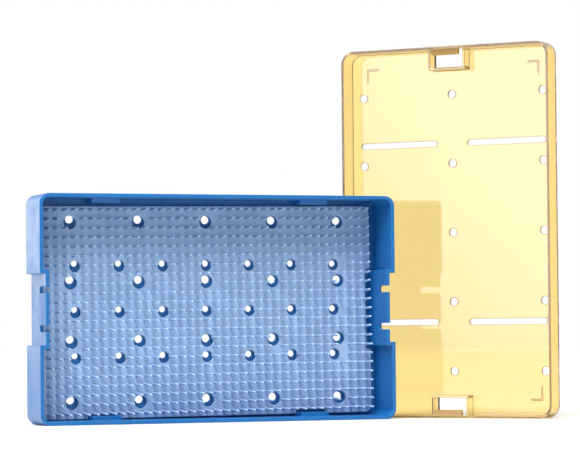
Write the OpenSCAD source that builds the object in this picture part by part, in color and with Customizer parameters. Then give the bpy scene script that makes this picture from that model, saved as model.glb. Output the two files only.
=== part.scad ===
// Instrument cassette of three mouldings: a tray, a finger mat that lies in it, and a lid.
// The tray stands on a long side with its open face towards -Y. The lid is off and stands on a
// short side behind the tray's right end, with its open face towards the same viewer.
// Each moulding is drawn lying on its back, open face up, and then stood up in its place.

/* [Tray] */
// Length of the tray
tray_len = 254; // [235:1:290]
// Width of the tray, which is its height while it stands on its side
tray_wid = 154; // [146:1:180]
// Depth of the tray from its rim to its back
tray_dep = 36; // [33:0.5:44]
// Thickness of the tray's side walls
tray_wall = 2.5; // [2.1:0.1:3]
// Thickness of the tray's floor
tray_floor = 2; // [1.6:0.1:2.6]
// Outer radius of the tray's four corners
tray_corner = 7; // [5:0.5:10]
// Outer radius of the edge between the tray's walls and its back
tray_edge = 3; // [2.6:0.1:4]

/* [Ledges inside the tray] */
// Length of each ledge along its wall
ledge_len = 20; // [12:1:30]
// How far a ledge stands out of its wall
ledge_reach = 2.8; // [2:0.1:3.2]
// Distance of a ledge's middle from the tray's middle
ledge_offset = 75; // [50:1:90]
// Depth of a ledge's top below the tray's rim
ledge_drop = 20; // [18:0.5:24]

/* [Latches at the tray's ends] */
// Width of the channel in each end wall
recess_wid = 47.6; // [42:0.2:56]
// Depth of that channel
recess_dep = 4; // [3.4:0.1:4.6]
// Width of the springy tongue
tongue_wid = 21.4; // [16:0.2:24]
// Height of the tongue, from its root to the rim
tongue_tall = 15; // [13:0.5:18]
// Width of the slot on each side of the tongue
slot_wid = 4.4; // [4:0.1:5]
// How far the tongue's barb stands out
barb_reach = 1.3; // [1:0.1:1.6]
// Depth of the barb's ledge below the rim
barb_drop = 8.5; // [7:0.1:9.5]

/* [Finger mat] */
// Thickness of the mat's sheet
mat_sheet = 2.8; // [2:0.1:3.4]
// Gap between the mat's ends and the tray's end walls
mat_end_gap = 3.6; // [2.4:0.1:4.4]
// Gap between the mat's long sides and the tray's walls, when it is centred
mat_side_gap = 2.6; // [2.4:0.1:2.8]
// Angle by which the loose mat lies askew, its left end lower
mat_askew = 0.4; // [0:0.05:0.5]
// Gap left under a soft edge or back where it rests
rest_gap = 0.35; // [0.3:0.05:0.5]
// Gap between the mat's end notch and the inner face of the tray's channel
notch_gap = 2.9; // [2.7:0.1:3.4]
// Height of a finger above the sheet
finger_tall = 11.4; // [9:0.2:12]
// Radius of a finger at its foot
finger_foot = 0.95; // [0.8:0.05:1.1]
// Radius of a finger at its tip
finger_tip = 0.7; // [0.5:0.05:0.75]
// Distance between neighbouring columns of fingers
finger_pitch = 6.22; // [6:0.02:8]
// Distance between neighbouring rows of fingers
row_pitch = 6.23; // [6:0.01:8]
// How far the field of fingers is shifted to the right on the sheet
finger_shift = 1.4; // [0:0.1:2]
// How far the field of fingers is shifted up on the sheet
finger_rise = 0.6; // [0.2:0.1:1]
// Least distance from the outermost columns of fingers to the sheet's ends
finger_margin = 3.4; // [3:0.1:4]

/* [Steam holes in the tray and the mat] */
// Radius of the large holes in the mat
large_hole = 4.5; // [3.6:0.1:5]
// Radius of the small holes in the mat
small_hole = 3.9; // [3:0.1:4.2]
// How much smaller in radius the tray's hole under each is
hole_step = 1.7; // [1:0.1:2]
// Spacing of the five columns of large holes
large_pitch = 48.4; // [44:0.2:52]
// Distance of the inner rows of large holes from the middle
large_inner = 20.1; // [18.6:0.1:21]
// Distance of the outer rows of large holes from the middle
large_outer = 61; // [54:0.5:63]
// Spacing of the seven columns of small holes
small_pitch = 31.2; // [28:0.1:33]
// Distance of the outer rows of small holes from the middle
small_outer = 31.2; // [30:0.1:36]

/* [Lid] */
// Thickness of the lid's side walls
lid_wall = 1.8; // [1.5:0.1:2.2]
// Thickness of the lid's plate
lid_plate = 1.8; // [1.5:0.1:2.2]
// Height inside the lid, from its plate to its rim
lid_inside = 14.6; // [14.2:0.1:16]
// Outer radius of the edge between the lid's walls and its plate
lid_edge = 2.4; // [2:0.1:3.2]
// Gap between the tray and the lid's walls when the cassette is shut
lid_gap = 0.4; // [0.3:0.05:0.5]
// Radius of the lid's steam holes
lid_hole = 2.9; // [2:0.1:3.5]
// Distance of the outer columns of steam holes from the middle
lid_hole_side = 69; // [60:0.5:70]
// Spacing of the rows of steam holes
lid_hole_pitch = 48.4; // [44:0.2:50]
// Width of the lid's long steam slots
vent_wid = 4.2; // [3.5:0.1:5]
// Distance of a slot's inner end from the middle
vent_inner = 11.8; // [8:0.2:14]
// Distance of a slot's outer end from the middle
vent_outer = 70.8; // [60:0.2:71]
// Distance of the slots from the middle of the lid's length
vent_offset = 62.5; // [56:0.5:68]

/* [Guides and catches of the lid] */
// Height of the guide ribs that pass through the tray's slots
guide_tall = 8; // [6:0.5:11]
// Thickness of the guide ribs
guide_thick = 1.8; // [1.4:0.1:2.2]
// Gap between a guide rib and the tray's tongue
guide_gap = 1.5; // [0.9:0.1:1.6]
// Distance of the cross rib from the lid's end
cross_from_end = 15.8; // [13.5:0.1:18]
// Width of the catch on each end wall
catch_wid = 21; // [16:0.2:24]
// How far the catch clears the recessed wall
catch_gap = 0.4; // [0.3:0.05:0.6]
// Gap between the catch and the barb when the cassette is shut
catch_play = 0.3; // [0.2:0.05:0.5]
// Length of each leg of the corner marks that locate a stacked tray
mark_leg = 8.5; // [6:0.5:14]
// Thickness of the corner marks, along the plate and out of it
mark_thick = 1; // [0.6:0.1:1.4]
// Distance of the corner marks from the lid's sides
mark_inset = 13; // [11:0.5:18]

/* [Lid's place beside the tray] */
// Angle between the lid's open face and the tray's
lid_turn = 49; // [35:1:60]
// Distance from the lid's near side wall to the tray's corner, along the lid
corner_along = 25.5; // [20:0.5:60]
// Gap between the tray's corner and the lid's open face
corner_gap = 0.8; // [0.5:0.1:5]

/* [Hidden] */

// Smoothness of the rounded corners and of the small round parts
$fn = 48;
small_fn = 24;
// Spare length by which a cut passes the faces that it opens
past = 1;

// Channel, tongue and slots at the tray's ends, measured from the tray's middle
channel_face = tray_len / 2 - recess_dep;
channel_inner = channel_face - tray_wall;
slot_outer = tongue_wid / 2 + slot_wid;
tongue_root = tray_dep - tongue_tall;
// Clearance that the tongue needs on each side to swing without rubbing
tongue_gap = 0.02;
ledge_top = tray_dep - ledge_drop;

// The mat, which has sagged until its left end meets the lower long wall, clear of the
// upper ledges
mat_len = tray_len - 2 * (tray_wall + mat_end_gap);
mat_wid = tray_wid - 2 * (tray_wall + mat_side_gap);
mat_corner = tray_corner - tray_wall;
mat_dip = (mat_len / 2 - mat_corner) * sin(mat_askew);
mat_sag = mat_side_gap - rest_gap - mat_dip;
mat_back = tray_floor + rest_gap;
mat_face = mat_back + mat_sheet;
notch_floor = channel_inner - notch_gap;
notch_half = recess_wid / 2 + tray_wall + mat_sag + mat_dip + 2 * rest_gap;
notch_slant = 2;
ledge_end = ledge_offset + ledge_len / 2;
ledge_notch = ledge_reach - (mat_len / 2 - mat_corner - ledge_end) * sin(mat_askew);
row_margin = ledge_notch + finger_foot - finger_rise;
finger_cols = 2 * floor((mat_len / 2 - finger_shift - finger_margin) / finger_pitch + 0.5);
finger_rows = 2 * floor((mat_wid / 2 - row_margin) / row_pitch) + 1;

// Middles of the steam holes that the mat and the tray share, with the mat's radius
large_spots = [
    for (x = [-2:2], y = [-large_outer, -large_inner, large_inner, large_outer])
        [x * large_pitch, y, large_hole]
];
small_spots = [
    for (x = [-3:3], y = [-small_outer, 0, small_outer])
        [x * small_pitch, y, small_hole]
];
steam_spots = concat(large_spots, small_spots);

// Lid over the tray
lid_wid = tray_wid + 2 * (lid_gap + lid_wall);
lid_len = tray_len + 2 * (lid_gap + lid_wall);
lid_corner = tray_corner + lid_gap + lid_wall;
lid_dep = lid_plate + lid_inside;
guide_outer = tongue_wid / 2 + guide_gap + guide_thick;
cross_face = lid_len / 2 - cross_from_end;
catch_reach = lid_gap + recess_dep - catch_gap;
catch_tall = lid_inside - barb_drop - catch_play;

// A rounded rectangle about the origin
module round_rect(size_x, size_y, r) {
    square([size_x - 2 * r, size_y], center = true);
    square([size_x, size_y - 2 * r], center = true);
    for (x = [-1, 1], y = [-1, 1])
        translate([x * (size_x / 2 - r), y * (size_y / 2 - r)]) circle(r);
}

// Upright slice through a block's side, from x = inner out to x = outer, round below outside
module side_slice(inner, outer, tall, edge) {
    translate([inner, edge]) square([outer - inner, tall - edge]);
    translate([inner, 0]) square([outer - edge - inner, tall]);
    translate([outer - edge, edge]) circle(edge);
}

// A block that stands on the XY plane, with round corners and a round edge below. Its sides and
// its corners have the same slice, so they meet without a seam.
module soft_block(size_x, size_y, size_z, corner, edge) {
    straight_x = size_x / 2 - corner;
    straight_y = size_y / 2 - corner;
    translate([-straight_x, -straight_y, 0])
        cube([2 * straight_x, 2 * straight_y, size_z]);
    for (side = [0, 180]) rotate(side) {
        translate([straight_x, 0, 0]) rotate([90, 0, 0])
            linear_extrude(2 * straight_y, center = true)
                side_slice(-past, corner, size_z, edge);
        rotate(90) translate([straight_y, 0, 0]) rotate([90, 0, 0])
            linear_extrude(2 * straight_x, center = true)
                side_slice(-past, corner, size_z, edge);
    }
    for (x = [-1, 1], y = [-1, 1])
        translate([x * straight_x, y * straight_y, 0])
            rotate_extrude() side_slice(0, corner, size_z, edge);
}

// A slot through a wall that faces X, open at the top, with a round bottom
module open_slot(wide, bottom, top) {
    rotate([90, 0, 90])
        linear_extrude(tray_wall + 2 * past, center = true) {
            translate([0, bottom + wide / 2]) circle(wide / 2);
            translate([-wide / 2, bottom + wide / 2])
                square([wide, top - bottom - wide / 2]);
        }
}

// The tray's own shell with its end channels, lying on its back
module tray_shell() {
    difference() {
        soft_block(tray_len, tray_wid, tray_dep, tray_corner, tray_edge);
        difference() {
            translate([0, 0, tray_floor])
                linear_extrude(tray_dep)
                    round_rect(tray_len - 2 * tray_wall, tray_wid - 2 * tray_wall,
                               tray_corner - tray_wall);
            for (side = [-1, 1])
                translate([side * (tray_len / 2), 0, tray_dep / 2])
                    cube([2 * (recess_dep + tray_wall), recess_wid + 2 * tray_wall,
                          2 * tray_dep], center = true);
        }
        for (side = [-1, 1])
            translate([side * (tray_len / 2 + past), 0, tray_dep / 2])
                cube([2 * (recess_dep + past), recess_wid, 2 * tray_dep], center = true);
    }
}

// Four ledges that rise from the floor along the long walls, rooted half a wall deep
module ledges() {
    deep = ledge_reach + tray_wall / 2;
    tall = ledge_top - tray_floor / 2;
    for (x = [-1, 1], y = [-1, 1])
        translate([x * ledge_offset, y * (tray_wid / 2 - tray_wall / 2 - deep / 2),
                   ledge_top - tall / 2])
            cube([ledge_len, deep, tall], center = true);
}

module tray() {
    color("#2a6fb8") stand_tray() {
        difference() {
            union() {
                tray_shell();
                ledges();
            }
            for (spot = steam_spots)
                translate([spot.x, spot.y, -past])
                    cylinder(r = spot.z - hole_step, h = tray_floor + 2 * past,
                             $fn = small_fn);
            for (side = [-1, 1], y = [-1, 1])
                translate([side * (channel_face - tray_wall / 2),
                           y * (tongue_wid + slot_wid) / 2, 0])
                    open_slot(slot_wid, tongue_root, tray_dep + past);
            for (side = [-1, 1])
                translate([side * (channel_face - tray_wall / 2), 0,
                           tongue_root + tray_dep / 2])
                    cube([tray_wall + 2 * past, tongue_wid + slot_wid, tray_dep],
                         center = true);
        }
    }
}

// The tongue at the right end: a strip of the channel's wall with a barb on its outer face
module tongue_at_right() {
    stand_tray()
        translate([channel_face, 0, tray_dep])
            rotate([90, 0, 0])
                linear_extrude(tongue_wid - 2 * tongue_gap, center = true)
                    polygon([
                        [-tray_wall, 0], [0, 0], [barb_reach, -barb_drop], [0, -barb_drop],
                        [0, -tongue_tall], [-tray_wall, -tongue_tall]
                    ]);
}

module left_latch_tongue() {
    color("#2a6fb8") mirror([1, 0, 0]) tongue_at_right();
}

module right_latch_tongue() {
    color("#2a6fb8") tongue_at_right();
}

// Whether a finger at (x, y) on the mat stands clear of every steam hole
function clear_of_holes(x, y) =
    len([for (spot = steam_spots) if (norm([x - spot.x, y - spot.y]) < spot.z + finger_foot) 1]) == 0;

// Outline of the mat's sheet, with a notch at each end for the tray's channel and two in its
// lower edge for the ledges that it would rest on
module mat_outline() {
    notch_dep = mat_len / 2 - notch_floor;
    difference() {
        round_rect(mat_len, mat_wid, mat_corner);
        for (side = [0, 1])
            mirror([side, 0])
                translate([mat_len / 2 - notch_dep, 0])
                    polygon([
                        [0, notch_half - notch_slant], [notch_dep + past, notch_half + past / 2],
                        [notch_dep + past, -notch_half - past / 2],
                        [0, -notch_half + notch_slant]
                    ]);
        for (x = [-1, 1])
            translate([x * ledge_offset, -mat_wid / 2])
                square([ledge_len + 4 * rest_gap, 2 * ledge_notch], center = true);
    }
}

module finger_mat() {
    color("#9fbde6") stand_tray() translate([0, -mat_sag, 0]) rotate(mat_askew) {
        difference() {
            translate([0, 0, mat_back]) linear_extrude(mat_sheet) mat_outline();
            for (spot = steam_spots)
                translate([spot.x, spot.y, mat_back - past])
                    cylinder(r = spot.z, h = mat_sheet + 2 * past, $fn = small_fn);
        }
        for (col = [0:finger_cols - 1], row = [0:finger_rows - 1]) {
            x = finger_shift + (col - (finger_cols - 1) / 2) * finger_pitch;
            y = finger_rise + (row - (finger_rows - 1) / 2) * row_pitch;
            if (clear_of_holes(x, y))
                translate([x, y, mat_face - mat_sheet / 2])
                    cylinder(r1 = finger_foot, r2 = finger_tip,
                             h = finger_tall + mat_sheet / 2, $fn = small_fn);
        }
    }
}

// A long hole with round ends, from x1 to x2
module long_hole(x1, x2, wide) {
    translate([(x1 + x2) / 2, 0]) square([x2 - x1 - wide, wide], center = true);
    translate([x1 + wide / 2, 0]) circle(wide / 2, $fn = small_fn);
    translate([x2 - wide / 2, 0]) circle(wide / 2, $fn = small_fn);
}

// Two guide ribs at the lid's +Y end, and the cross rib between them
module guide_ribs() {
    end_y = lid_len / 2 - lid_wall / 2;
    for (side = [-1, 1])
        translate([side * (guide_outer - guide_thick / 2), 0, 0])
            translate([-guide_thick / 2, cross_face, lid_plate / 2])
                cube([guide_thick, end_y - cross_face, lid_plate / 2 + guide_tall]);
    translate([-guide_outer, cross_face, lid_plate / 2])
        cube([2 * guide_outer, guide_thick, lid_plate / 2 + guide_tall]);
}

// The catch on the end wall, which snaps under the tongue's barb
module catch_wedge() {
    wall_inner = lid_len / 2 - lid_wall;
    translate([0, wall_inner, lid_dep])
        rotate([90, 0, 90])
            linear_extrude(catch_wid, center = true)
                polygon([
                    [lid_wall / 2, 0], [0, 0], [-catch_reach, -catch_tall],
                    [lid_wall / 2, -catch_tall]
                ]);
}

// The window between the guide ribs, which shows the latch
module lid_window() {
    half = guide_outer - guide_thick;
    far_edge = lid_len / 2 - lid_wall;
    translate([-half, cross_face + guide_thick, -past])
        cube([2 * half, far_edge - cross_face - guide_thick, lid_plate + 2 * past]);
}

// Two legs that meet at a corner of the plate, on its outer face
module corner_mark() {
    translate([lid_wid / 2 - mark_inset - mark_leg, lid_len / 2 - mark_inset, -mark_thick])
        cube([mark_leg, mark_thick, mark_thick + lid_plate / 2]);
    translate([lid_wid / 2 - mark_inset - mark_thick, lid_len / 2 - mark_inset - mark_leg,
               -mark_thick])
        cube([mark_thick, mark_leg, mark_thick + lid_plate / 2]);
}

module lid() {
    color("#f6dc8c", 0.6) stand_lid() difference() {
        union() {
            difference() {
                soft_block(lid_wid, lid_len, lid_dep, lid_corner, lid_edge);
                translate([0, 0, lid_plate])
                    linear_extrude(lid_dep)
                        round_rect(lid_wid - 2 * lid_wall, lid_len - 2 * lid_wall,
                                   lid_corner - lid_wall);
            }
            for (end = [0, 1]) mirror([0, end, 0]) {
                guide_ribs();
                catch_wedge();
                for (side = [0, 1]) mirror([side, 0, 0]) corner_mark();
            }
        }
        for (end = [0, 1]) mirror([0, end, 0]) {
            lid_window();
            for (side = [0, 1]) mirror([side, 0, 0])
                translate([0, vent_offset, -past])
                    linear_extrude(lid_plate + 2 * past)
                        long_hole(vent_inner, vent_outer, vent_wid);
        }
        for (x = [-1:1], y = [-2:2])
            translate([x * lid_hole_side, y * lid_hole_pitch, -past])
                cylinder(r = lid_hole, h = lid_plate + 2 * past, $fn = small_fn);
    }
}

// Stands what is drawn on its back on the tray's lower long wall, open face towards -Y
module stand_tray() {
    translate([0, tray_dep / 2, tray_wid / 2]) rotate([90, 0, 0]) children();
}

// Stands the lid on its lower short wall, turned, with its open face just clear of the
// tray's right back corner
module stand_lid() {
    corner_x = tray_len / 2 - tray_edge;
    corner_y = tray_dep / 2 - tray_edge;
    along = lid_wid / 2 - corner_along;
    away = tray_edge + corner_gap + lid_dep;
    translate([corner_x + along * cos(lid_turn) + away * sin(lid_turn),
               corner_y - along * sin(lid_turn) + away * cos(lid_turn),
               lid_len / 2])
        rotate([0, 0, -lid_turn]) rotate([90, 0, 0]) children();
}

tray();
left_latch_tongue();
right_latch_tongue();
finger_mat();
lid();
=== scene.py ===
"""An instrument cassette stood up for display: a blue tray with a silicone finger mat in it,
and its clear amber lid, off, behind the tray's right end. Metres, +Z up, front towards -Y."""

import math
import random

import bpy
from mathutils import Matrix, Vector


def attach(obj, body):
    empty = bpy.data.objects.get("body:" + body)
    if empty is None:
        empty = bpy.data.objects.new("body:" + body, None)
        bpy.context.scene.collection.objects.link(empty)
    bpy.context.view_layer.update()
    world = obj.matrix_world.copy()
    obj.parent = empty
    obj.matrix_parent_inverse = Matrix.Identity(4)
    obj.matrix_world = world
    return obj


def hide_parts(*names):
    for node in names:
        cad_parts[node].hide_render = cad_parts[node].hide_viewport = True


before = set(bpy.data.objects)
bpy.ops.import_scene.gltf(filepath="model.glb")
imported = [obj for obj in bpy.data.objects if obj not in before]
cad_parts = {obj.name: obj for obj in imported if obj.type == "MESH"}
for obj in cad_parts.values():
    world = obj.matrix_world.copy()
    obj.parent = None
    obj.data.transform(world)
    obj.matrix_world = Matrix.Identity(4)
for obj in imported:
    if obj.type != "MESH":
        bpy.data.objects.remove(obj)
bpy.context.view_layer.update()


# ---------------------------------------------------------------------------
# Tray. One injection moulding in blue heat-resistant plastic, open at the front, with a
# channel in each end, four ledges inside the long walls and 41 steam holes in its back.
# Its walls are satin from the mould, and every edge is broken by a small radius.
# ---------------------------------------------------------------------------

MM = 0.001
TRAY_EDGE_RADIUS = 0.45 * MM
WELD = 0.002 * MM
FLAT_ENOUGH = math.radians(1.2)
EDGE_ANGLE = math.radians(35)
EDGE_SEGMENTS = 2
SMOOTH_ANGLE = math.radians(50)
TRAY_BLUE = (0.004, 0.138, 0.410, 1)
TRAY_BLUE_PALE = (0.007, 0.158, 0.450, 1)


def only(piece):
    """Selects this one piece and makes it the active one."""
    bpy.ops.object.select_all(action="DESELECT")
    piece.select_set(True)
    bpy.context.view_layer.objects.active = piece


def moulded_copy(node, name, edge_radius, finish, edge_painted_shade=None):
    """The CAD solid as one closed skin of flat faces, with its sharp edges rounded."""
    piece = bpy.data.objects.new(name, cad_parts[node].data.copy())
    bpy.context.scene.collection.objects.link(piece)
    only(piece)
    piece.data.materials.clear()
    piece.data.materials.append(finish)
    bpy.ops.object.mode_set(mode="EDIT")
    bpy.ops.mesh.select_all(action="SELECT")
    bpy.ops.mesh.remove_doubles(threshold=WELD)
    bpy.ops.mesh.dissolve_limited(angle_limit=FLAT_ENOUGH)
    bpy.ops.object.mode_set(mode="OBJECT")
    rounding = piece.modifiers.new("Rounding", "BEVEL")
    rounding.width = edge_radius
    rounding.segments = EDGE_SEGMENTS
    rounding.limit_method = "ANGLE"
    rounding.angle_limit = EDGE_ANGLE
    rounding.use_clamp_overlap = False
    rounding.miter_outer = "MITER_ARC"
    # The rounded edges can take a second material, which for the lid carries painted shade
    if edge_painted_shade:
        piece.data.materials.append(edge_painted_shade)
        rounding.material = 1
    bpy.ops.object.modifier_apply(modifier="Rounding")
    bpy.ops.object.shade_smooth_by_angle(angle=SMOOTH_ANGLE)
    flat_faces = piece.modifiers.new("FlatFaces", "WEIGHTED_NORMAL")
    flat_faces.weight = 100
    flat_faces.keep_sharp = True
    bpy.ops.object.modifier_apply(modifier="FlatFaces")
    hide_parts(node)
    return piece


def new_material(name):
    """An empty material, its node tree and its Principled shader."""
    material = bpy.data.materials.new(name)
    material.use_nodes = True
    return material, material.node_tree, material.node_tree.nodes["Principled BSDF"]


def noise(tree, scale, detail=2.0, roughness=0.5):
    """A noise over the piece's own coordinates."""
    where = tree.nodes.new("ShaderNodeTexCoord")
    pattern = tree.nodes.new("ShaderNodeTexNoise")
    pattern.inputs["Scale"].default_value = scale
    pattern.inputs["Detail"].default_value = detail
    pattern.inputs["Roughness"].default_value = roughness
    tree.links.new(where.outputs["Object"], pattern.inputs["Vector"])
    return pattern.outputs["Fac"]


def ramp(tree, source, low, high, low_colour, high_colour):
    """Runs from one colour to another as the source goes from low to high."""
    colours = tree.nodes.new("ShaderNodeValToRGB")
    colours.color_ramp.elements[0].position = low
    colours.color_ramp.elements[0].color = low_colour
    colours.color_ramp.elements[1].position = high
    colours.color_ramp.elements[1].color = high_colour
    tree.links.new(source, colours.inputs["Fac"])
    return colours.outputs["Color"]


def spread(tree, source, low, high, from_low=0.35, from_high=0.65):
    """Maps a source onto a range of plain numbers."""
    mapped = tree.nodes.new("ShaderNodeMapRange")
    mapped.inputs["From Min"].default_value = from_low
    mapped.inputs["From Max"].default_value = from_high
    mapped.inputs["To Min"].default_value = low
    mapped.inputs["To Max"].default_value = high
    tree.links.new(source, mapped.inputs["Value"])
    return mapped.outputs["Result"]


def bump(tree, shader, source, depth):
    """Presses a pattern of this depth, in metres, into the shader's surface."""
    pressed = tree.nodes.new("ShaderNodeBump")
    pressed.inputs["Distance"].default_value = depth
    tree.links.new(source, pressed.inputs["Height"])
    tree.links.new(pressed.outputs["Normal"], shader.inputs["Normal"])


blue_plastic, tree, shader = new_material("blue_moulded_plastic")
tree.links.new(
    ramp(tree, noise(tree, 22, 3), 0.3, 0.7, TRAY_BLUE, TRAY_BLUE_PALE),
    shader.inputs["Base Color"],
)
tree.links.new(
    spread(tree, noise(tree, 60, 4, 0.6), 0.30, 0.42), shader.inputs["Roughness"]
)
bump(tree, shader, noise(tree, 2600, 2), 0.012 * MM)
shader.inputs["IOR"].default_value = 1.52

tray = moulded_copy("tray", "tray_shell", TRAY_EDGE_RADIUS, blue_plastic)
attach(tray, "tray")


# ---------------------------------------------------------------------------
# Latch tongues. Each is a strip of the channel's own wall between two slots, springy at its
# root, with a barb on its outer face for the lid's catch. Same plastic, same moulding.
# ---------------------------------------------------------------------------

TONGUE_EDGE_RADIUS = 0.3 * MM
for node, body in (("left_latch_tongue", "left_tongue"), ("right_latch_tongue", "right_tongue")):
    tongue = moulded_copy(node, node + "_moulded", TONGUE_EDGE_RADIUS, blue_plastic)
    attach(tongue, body)


# ---------------------------------------------------------------------------
# Finger mat. One soft moulding in pale blue silicone: a sheet with notches for the tray's
# channels and lower ledges, 41 steam holes, and rows of slender fingers that hold the
# instruments. It lies loose in the tray, has sagged onto the lower wall and lies askew.
# ---------------------------------------------------------------------------

MAT_LEN, MAT_WID, MAT_SHEET = 241.8 * MM, 143.8 * MM, 2.8 * MM
MAT_FACE_Y = 12.85 * MM
MAT_MIDDLE_Z = 75.56 * MM
MAT_ASKEW = math.radians(0.4)
MAT_CORNER, MAT_CORNER_SEGMENTS = 4.5 * MM, 8
MAT_LIP = 0.45 * MM
NOTCH_FLOOR_X, NOTCH_HALF, NOTCH_SLANT = 117.6 * MM, 29.25 * MM, 2 * MM
LEDGE_X, LEDGE_NOTCH_LEN, LEDGE_NOTCH_DEP = 75 * MM, 21.4 * MM, 2.58 * MM
LARGE_HOLE, LARGE_PITCH, LARGE_ROWS = 4.5 * MM, 48.4 * MM, (-61, -20.1, 20.1, 61)
SMALL_HOLE, SMALL_PITCH, SMALL_ROWS = 3.9 * MM, 31.2 * MM, (-31.2, 0, 31.2)
HOLE_SIDES = 32
FINGER_TALL, FINGER_FOOT, FINGER_TIP = 11.4 * MM, 0.95 * MM, 0.7 * MM
FINGER_SUNK = 0.5 * MM
FINGER_CUTS = (0.55 * MM, 3.6 * MM, 7.4 * MM, 10.7 * MM)
TIP_ROUNDING, FOOT_FLARE, FINGER_BEND = 0.55, 1.75, 1.5
FINGER_COLS, FINGER_ROWS = 38, 23
COL_PITCH, ROW_PITCH = 6.22 * MM, 6.23 * MM
FIELD_RIGHT, FIELD_UP = 1.4 * MM, 0.6 * MM
FINGER_SIDES = 8
FINGER_FROM_HOLE = 0.4 * MM

holes = [(x * LARGE_PITCH, z * MM, LARGE_HOLE) for x in range(-2, 3) for z in LARGE_ROWS]
holes += [(x * SMALL_PITCH, z * MM, SMALL_HOLE) for x in range(-3, 4) for z in SMALL_ROWS]


def block(name, low, high):
    """A box between two corners, with its place in its mesh."""
    bpy.ops.object.select_all(action="DESELECT")
    middle = [(a + b) / 2 for a, b in zip(low, high)]
    bpy.ops.mesh.primitive_cube_add(size=1, location=middle)
    piece = bpy.context.object
    piece.name = name
    piece.scale = [b - a for a, b in zip(low, high)]
    bpy.ops.object.transform_apply(location=True, rotation=True, scale=True)
    return piece


def select_where(piece, wanted):
    """In edit mode, selects the vertices that the test wants, and what they span."""
    bpy.ops.mesh.select_all(action="DESELECT")
    bpy.ops.object.mode_set(mode="OBJECT")
    for vertex in piece.data.vertices:
        vertex.select = wanted(vertex.co)
    bpy.ops.object.mode_set(mode="EDIT")


sheet_low_z, sheet_high_z = MAT_MIDDLE_Z - MAT_WID / 2, MAT_MIDDLE_Z + MAT_WID / 2
mat = block(
    "silicone_finger_mat",
    (-MAT_LEN / 2, MAT_FACE_Y, sheet_low_z),
    (MAT_LEN / 2, MAT_FACE_Y + MAT_SHEET, sheet_high_z),
)
# The four corners of the sheet are rounded about its thickness
bpy.ops.object.mode_set(mode="EDIT")
bpy.ops.mesh.select_all(action="DESELECT")
bpy.ops.mesh.select_mode(type="EDGE")
bpy.ops.object.mode_set(mode="OBJECT")
for edge in mat.data.edges:
    a, b = (mat.data.vertices[i].co for i in edge.vertices)
    edge.select = abs(a.y - b.y) > MAT_SHEET / 2
bpy.ops.object.mode_set(mode="EDIT")
bpy.ops.mesh.bevel(offset=MAT_CORNER, segments=MAT_CORNER_SEGMENTS)
bpy.ops.mesh.select_mode(type="VERT")
bpy.ops.object.mode_set(mode="OBJECT")

PAST = 2 * MM
cut_near, cut_far = MAT_FACE_Y - PAST, MAT_FACE_Y + MAT_SHEET + PAST
cutters = []
for side in (-1, 1):
    inner, outer = side * NOTCH_FLOOR_X, side * (MAT_LEN / 2 + PAST)
    notch = block(
        "notch_cutter",
        (min(inner, outer), cut_near, MAT_MIDDLE_Z - NOTCH_HALF),
        (max(inner, outer), cut_far, MAT_MIDDLE_Z + NOTCH_HALF),
    )
    for vertex in notch.data.vertices:
        if abs(vertex.co.x - inner) < WELD:
            up = vertex.co.z > MAT_MIDDLE_Z
            vertex.co.z += -NOTCH_SLANT if up else NOTCH_SLANT
    cutters.append(notch)
    cutters.append(
        block(
            "ledge_cutter",
            (side * LEDGE_X - LEDGE_NOTCH_LEN / 2, cut_near, sheet_low_z - PAST),
            (side * LEDGE_X + LEDGE_NOTCH_LEN / 2, cut_far, sheet_low_z + LEDGE_NOTCH_DEP),
        )
    )
for x, z, radius in holes:
    bpy.ops.object.select_all(action="DESELECT")
    bpy.ops.mesh.primitive_cylinder_add(
        vertices=HOLE_SIDES,
        radius=radius,
        depth=cut_far - cut_near,
        location=(x, (cut_near + cut_far) / 2, MAT_MIDDLE_Z + z),
        rotation=(math.pi / 2, 0, 0),
    )
    cutters.append(bpy.context.object)
only(cutters[0])
for cutter in cutters:
    cutter.select_set(True)
bpy.ops.object.join()
bpy.ops.object.transform_apply(location=True, rotation=True, scale=True)
only(mat)
punched = mat.modifiers.new("Punched", "BOOLEAN")
punched.operation = "DIFFERENCE"
punched.solver = "EXACT"
punched.object = cutters[0]
bpy.ops.object.modifier_apply(modifier="Punched")
bpy.data.objects.remove(cutters[0])
lip = mat.modifiers.new("Lip", "BEVEL")
lip.width = MAT_LIP
lip.segments = 2
lip.limit_method = "ANGLE"
lip.angle_limit = EDGE_ANGLE
lip.use_clamp_overlap = False
bpy.ops.object.modifier_apply(modifier="Lip")
about_middle = Matrix.Translation((0, 0, MAT_MIDDLE_Z))
askew = about_middle @ Matrix.Rotation(-MAT_ASKEW, 4, "Y") @ about_middle.inverted()
mat.matrix_world = askew
bpy.ops.object.transform_apply(location=True, rotation=True, scale=True)

# One finger, standing out of the sheet towards the front at the middle of the mat
bpy.ops.object.select_all(action="DESELECT")
bpy.ops.mesh.primitive_cone_add(
    vertices=FINGER_SIDES,
    radius1=FINGER_FOOT,
    radius2=FINGER_TIP,
    depth=FINGER_TALL + FINGER_SUNK,
    location=(0, MAT_FACE_Y - (FINGER_TALL - FINGER_SUNK) / 2, MAT_MIDDLE_Z),
    rotation=(math.pi / 2, 0, 0),
)
finger = bpy.context.object
bpy.ops.object.transform_apply(location=True, rotation=True, scale=True)
bpy.ops.object.mode_set(mode="EDIT")
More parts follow.
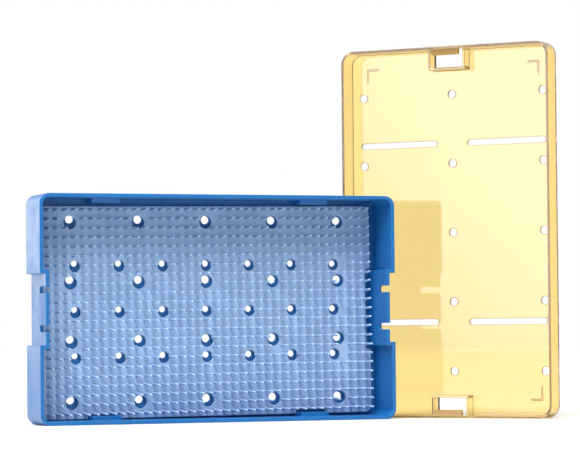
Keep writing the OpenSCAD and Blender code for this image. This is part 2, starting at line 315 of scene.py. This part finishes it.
# It is cut into lengths, so that it can bend, and its tip and its foot are rounded
for height in FINGER_CUTS:
    bpy.ops.mesh.select_all(action="SELECT")
    bpy.ops.mesh.bisect(
        plane_co=(0, MAT_FACE_Y - height, MAT_MIDDLE_Z), plane_no=(0, 1, 0)
    )
select_where(finger, lambda co: co.y < MAT_FACE_Y - FINGER_TALL + WELD)
bpy.ops.transform.resize(
    value=(TIP_ROUNDING, 1, TIP_ROUNDING), center_override=(0, MAT_FACE_Y, MAT_MIDDLE_Z)
)
select_where(finger, lambda co: co.y > MAT_FACE_Y + FINGER_SUNK - WELD)
bpy.ops.transform.resize(
    value=(FOOT_FLARE, 1, FOOT_FLARE), center_override=(0, MAT_FACE_Y, MAT_MIDDLE_Z)
)
bpy.ops.object.mode_set(mode="OBJECT")
bpy.ops.object.shade_smooth()

# Every finger leans a little: outwards from the mat's middle, the lower rows to the right and
# the upper ones to the left, and by a small amount of its own
LEAN_RIGHT, LEAN_UP, LEAN_OWN = 0.2 * MM, 0.04 * MM, 0.16 * MM
OWN_SEED = 7
LEAN_RIGHT_PER_ROW, LEAN_UP_PER_ROW, LEAN_UP_PER_COL = -0.079 * MM, 0.053 * MM, 0.027 * MM
own = random.Random(OWN_SEED)
straight = [vertex.co.copy() for vertex in finger.data.vertices]
fingers = []
for row in range(FINGER_ROWS):
    for col in range(FINGER_COLS):
        rows_up, cols_right = row - (FINGER_ROWS - 1) / 2, col - (FINGER_COLS - 1) / 2
        x = FIELD_RIGHT + cols_right * COL_PITCH
        z = FIELD_UP + rows_up * ROW_PITCH
        lean_x = LEAN_RIGHT + rows_up * LEAN_RIGHT_PER_ROW + own.gauss(0, LEAN_OWN)
        lean_z = LEAN_UP + rows_up * LEAN_UP_PER_ROW + cols_right * LEAN_UP_PER_COL
        lean_z += own.gauss(0, LEAN_OWN)
        if any(math.dist((x, z), hole[:2]) < hole[2] + FINGER_FROM_HOLE for hole in holes):
            continue
        foot = Vector((x, 0, z)) @ Matrix.Rotation(MAT_ASKEW, 3, "Y")
        mesh = finger.data.copy()
        for vertex, rest in zip(mesh.vertices, straight):
            share = max(0, (MAT_FACE_Y - rest.y) / FINGER_TALL) ** FINGER_BEND
            vertex.co = rest + foot + Vector((share * lean_x, 0, share * lean_z))
        copy = bpy.data.objects.new("finger", mesh)
        bpy.context.scene.collection.objects.link(copy)
        fingers.append(copy)
bpy.data.objects.remove(finger)
only(mat)
for copy in fingers:
    copy.select_set(True)
bpy.ops.object.join()
bpy.ops.object.shade_smooth_by_angle(angle=SMOOTH_ANGLE)
flat_faces = mat.modifiers.new("FlatFaces", "WEIGHTED_NORMAL")
flat_faces.weight = 100
flat_faces.keep_sharp = True
bpy.ops.object.modifier_apply(modifier="FlatFaces")

SILICONE_DEEP = (0.350, 0.520, 0.760, 1)
SILICONE_PALE = (0.400, 0.570, 0.810, 1)
# The tip colour is painted light, a glow for the light through the thin finger tips
SILICONE_TIP_PAINTED_GLOW = (0.620, 0.800, 0.960, 1)
PAINTED_GLOW_FROM, PAINTED_GLOW_POWER = 3 * MM, 3.0
silicone, tree, shader = new_material("pale_blue_silicone")
sheet_colour = ramp(tree, noise(tree, 35, 4), 0.3, 0.7, SILICONE_DEEP, SILICONE_PALE)
# The fingers are painted paler towards their thin tips: painted light for the light that passes
# through them
where = tree.nodes.new("ShaderNodeTexCoord")
apart = tree.nodes.new("ShaderNodeSeparateXYZ")
tree.links.new(where.outputs["Object"], apart.inputs["Vector"])
height = spread(
    tree, apart.outputs["Y"], 0.0, 1.0, MAT_FACE_Y - PAINTED_GLOW_FROM, MAT_FACE_Y - FINGER_TALL
)
painted_glow = tree.nodes.new("ShaderNodeMath")
painted_glow.operation = "POWER"
painted_glow.inputs[1].default_value = PAINTED_GLOW_POWER
tree.links.new(height, painted_glow.inputs[0])
painted_glow_mix = tree.nodes.new("ShaderNodeMix")
painted_glow_mix.data_type = "RGBA"
tree.links.new(painted_glow.outputs["Value"], painted_glow_mix.inputs["Factor"])
tree.links.new(sheet_colour, painted_glow_mix.inputs["A"])
painted_glow_mix.inputs["B"].default_value = SILICONE_TIP_PAINTED_GLOW
tree.links.new(painted_glow_mix.outputs["Result"], shader.inputs["Base Color"])
tree.links.new(
    spread(tree, noise(tree, 90, 3), 0.38, 0.52), shader.inputs["Roughness"]
)
shader.inputs["IOR"].default_value = 1.41
bump(tree, shader, noise(tree, 1500, 2), 0.01 * MM)

mat.data.materials.clear()
mat.data.materials.append(silicone)
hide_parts("finger_mat")
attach(mat, "mat")


# ---------------------------------------------------------------------------
# Lid. One thin moulding in clear amber plastic with a plate, four walls, guide ribs and
# catches at its ends, steam holes and slots, and corner marks. Off the tray, it stands on
# its short end, and shows the white behind it through its plate.
# ---------------------------------------------------------------------------

LID_EDGE_RADIUS = 0.35 * MM
LID_TURN = math.radians(49)
PAINTED_SHADE_ROUND_LOW, PAINTED_SHADE_ROUND_HIGH = 0.30, 0.93
LID_IOR = 1.58
AMBER = (0.990, 0.755, 0.290, 1)
AMBER_DEEP = (0.985, 0.735, 0.270, 1)
# The edge colours are painted shade, darker than the plate's own amber
AMBER_EDGE_PAINTED_SHADE = (0.600, 0.400, 0.170, 1)
AMBER_EDGE_PAINTED_SHADE_DEEP = (0.520, 0.340, 0.140, 1)

amber, tree, shader = new_material("clear_amber_plastic")
tree.links.new(
    ramp(tree, noise(tree, 6, 2), 0.3, 0.7, AMBER_DEEP, AMBER), shader.inputs["Base Color"]
)
shader.inputs["Transmission Weight"].default_value = 1.0
shader.inputs["IOR"].default_value = LID_IOR
tree.links.new(
    spread(tree, noise(tree, 30, 3), 0.02, 0.06), shader.inputs["Roughness"]
)

# Its edges are painted a darker amber: painted shade for the dark surroundings that they
# refract, with a little of the real colour along the long path through the plate
amber_edge_painted_shade, tree, shader = new_material("clear_amber_edge_painted_shade")
tree.links.new(
    ramp(tree, noise(tree, 40, 2), 0.3, 0.7, AMBER_EDGE_PAINTED_SHADE_DEEP, AMBER_EDGE_PAINTED_SHADE),
    shader.inputs["Base Color"],
)
shader.inputs["Transmission Weight"].default_value = 0.5
shader.inputs["IOR"].default_value = LID_IOR
shader.inputs["Roughness"].default_value = 0.35

lid = moulded_copy("lid", "lid_shell", LID_EDGE_RADIUS, amber, amber_edge_painted_shade)
# The rounded edge between its plate and its walls gets the same painted shade as the other edges
plate_faces = Vector((-math.sin(LID_TURN), -math.cos(LID_TURN), 0))
for face in lid.data.polygons:
    if PAINTED_SHADE_ROUND_LOW < abs(face.normal.dot(plate_faces)) < PAINTED_SHADE_ROUND_HIGH:
        face.material_index = 1
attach(lid, "lid")


# ---------------------------------------------------------------------------
# Studio: a plain white table and surround, soft lamps, and the camera low at the front left.
# ---------------------------------------------------------------------------

bpy.ops.object.select_all(action="DESELECT")
TABLE_LIFT, TABLE_LIFT_FAR = 0.12, 0.62
TABLE_NEAR, TABLE_FAR = 0.3, 2.5
TABLE_SIZE, TABLE_BACK = 12, 2
FRONT_LEVEL, BACK_LEVEL, TURN_OVER = 0.15, 0.85, 0.35
bpy.ops.mesh.primitive_plane_add(size=TABLE_SIZE, location=(0, TABLE_BACK, 0))
table = bpy.context.object
bpy.ops.object.transform_apply(location=True, rotation=True, scale=True)
table.name = "table"
white_table, tree, shader = new_material("white_table")
shader.inputs["Base Color"].default_value = (0.80, 0.80, 0.80, 1)
shader.inputs["Roughness"].default_value = 0.6
path = tree.nodes.new("ShaderNodeLightPath")
dull = tree.nodes.new("ShaderNodeMath")
dull.operation = "SUBTRACT"
dull.inputs[0].default_value = 1
tree.links.new(path.outputs["Is Diffuse Ray"], dull.inputs[1])
glow = tree.nodes.new("ShaderNodeEmission")
where = tree.nodes.new("ShaderNodeTexCoord")
reach = tree.nodes.new("ShaderNodeVectorMath")
reach.operation = "LENGTH"
tree.links.new(where.outputs["Object"], reach.inputs[0])
whiter = spread(tree, reach.outputs["Value"], TABLE_LIFT, TABLE_LIFT_FAR, TABLE_NEAR, TABLE_FAR)
lift = tree.nodes.new("ShaderNodeMath")
lift.operation = "MULTIPLY"
tree.links.new(whiter, lift.inputs[1])
tree.links.new(dull.outputs["Value"], lift.inputs[0])
tree.links.new(lift.outputs["Value"], glow.inputs["Strength"])
both = tree.nodes.new("ShaderNodeAddShader")
tree.links.new(shader.outputs["BSDF"], both.inputs[0])
tree.links.new(glow.outputs["Emission"], both.inputs[1])
tree.links.new(both.outputs["Shader"], tree.nodes["Material Output"].inputs["Surface"])
table.data.materials.append(white_table)

# The surround is white where it is seen, bright behind the cassette and dim on the viewer's
# side. A soft window at the front left shows in the lid's plate, and only in reflections
WINDOW_HEADING, WINDOW_RISE, WINDOW_LEVEL = math.radians(207), math.radians(12), 5.0
WINDOW_COLOUR = (0.55, 0.66, 1.0, 1)
WINDOW_FULL, WINDOW_EDGE = math.cos(math.radians(12)), math.cos(math.radians(20))
world = bpy.data.worlds.new("studio")
bpy.context.scene.world = world
world.use_nodes = True
tree = world.node_tree
backdrop = tree.nodes["Background"]
backdrop.inputs["Color"].default_value = (1, 1, 1, 1)
where = tree.nodes.new("ShaderNodeTexCoord")
apart = tree.nodes.new("ShaderNodeSeparateXYZ")
tree.links.new(where.outputs["Generated"], apart.inputs["Vector"])
around = spread(tree, apart.outputs["Y"], FRONT_LEVEL, BACK_LEVEL, -TURN_OVER, TURN_OVER)
towards = tree.nodes.new("ShaderNodeVectorMath")
towards.operation = "DOT_PRODUCT"
tree.links.new(where.outputs["Generated"], towards.inputs[0])
towards.inputs[1].default_value = (
    math.cos(WINDOW_RISE) * math.cos(WINDOW_HEADING),
    math.cos(WINDOW_RISE) * math.sin(WINDOW_HEADING),
    math.sin(WINDOW_RISE),
)
window = spread(tree, towards.outputs["Value"], 0, WINDOW_LEVEL, WINDOW_EDGE, WINDOW_FULL)
window.node.interpolation_type = "SMOOTHSTEP"
path = tree.nodes.new("ShaderNodeLightPath")
seen = tree.nodes.new("ShaderNodeMath")
seen.operation = "MAXIMUM"
tree.links.new(path.outputs["Is Camera Ray"], seen.inputs[0])
tree.links.new(path.outputs["Is Transmission Ray"], seen.inputs[1])
level = tree.nodes.new("ShaderNodeMath")
level.operation = "MAXIMUM"
tree.links.new(seen.outputs["Value"], level.inputs[0])
tree.links.new(around, level.inputs[1])
tree.links.new(level.outputs["Value"], backdrop.inputs["Strength"])
mirrored = tree.nodes.new("ShaderNodeMath")
mirrored.operation = "MULTIPLY"
tree.links.new(window, mirrored.inputs[0])
tree.links.new(path.outputs["Is Glossy Ray"], mirrored.inputs[1])
pane = tree.nodes.new("ShaderNodeBackground")
pane.inputs["Color"].default_value = WINDOW_COLOUR
tree.links.new(mirrored.outputs["Value"], pane.inputs["Strength"])
both = tree.nodes.new("ShaderNodeAddShader")
tree.links.new(backdrop.outputs["Background"], both.inputs[0])
tree.links.new(pane.outputs["Background"], both.inputs[1])
tree.links.new(both.outputs["Shader"], tree.nodes["World Output"].inputs["Surface"])


def soft_lamp(name, place, aim, size, power):
    """A square soft box that faces a point."""
    lamp = bpy.data.lights.new(name, "AREA")
    lamp.shape = "SQUARE"
    lamp.size = size
    lamp.energy = power
    holder = bpy.data.objects.new(name, lamp)
    bpy.context.scene.collection.objects.link(holder)
    holder.location = place
    holder.rotation_euler = (Vector(aim) - Vector(place)).to_track_quat("-Z", "Y").to_euler()


AIM = (0.05, 0, 0.1)
soft_lamp("key", (-0.5, -0.9, 1.75), AIM, 1.2, 57)
soft_lamp("left_back", (-0.9, 1.7, 0.55), AIM, 1.0, 8)

camera = bpy.data.objects.new("camera", bpy.data.cameras.new("camera"))
bpy.context.scene.collection.objects.link(camera)
HEADING, PITCH, ROLL = (math.radians(angle) for angle in (20.71, 1.92, 0.51))
camera.matrix_world = (
    Matrix.Translation((-0.63687, -1.83369, 0.05959))
    @ Matrix.Rotation(-HEADING, 4, "Z")
    @ Matrix.Rotation(math.pi / 2 + PITCH, 4, "X")
    @ Matrix.Rotation(-ROLL, 4, "Z")
)
camera.data.lens = 176.8
camera.data.sensor_width = 36
bpy.context.scene.camera = camera
bpy.context.scene.view_settings.view_transform = "Standard"
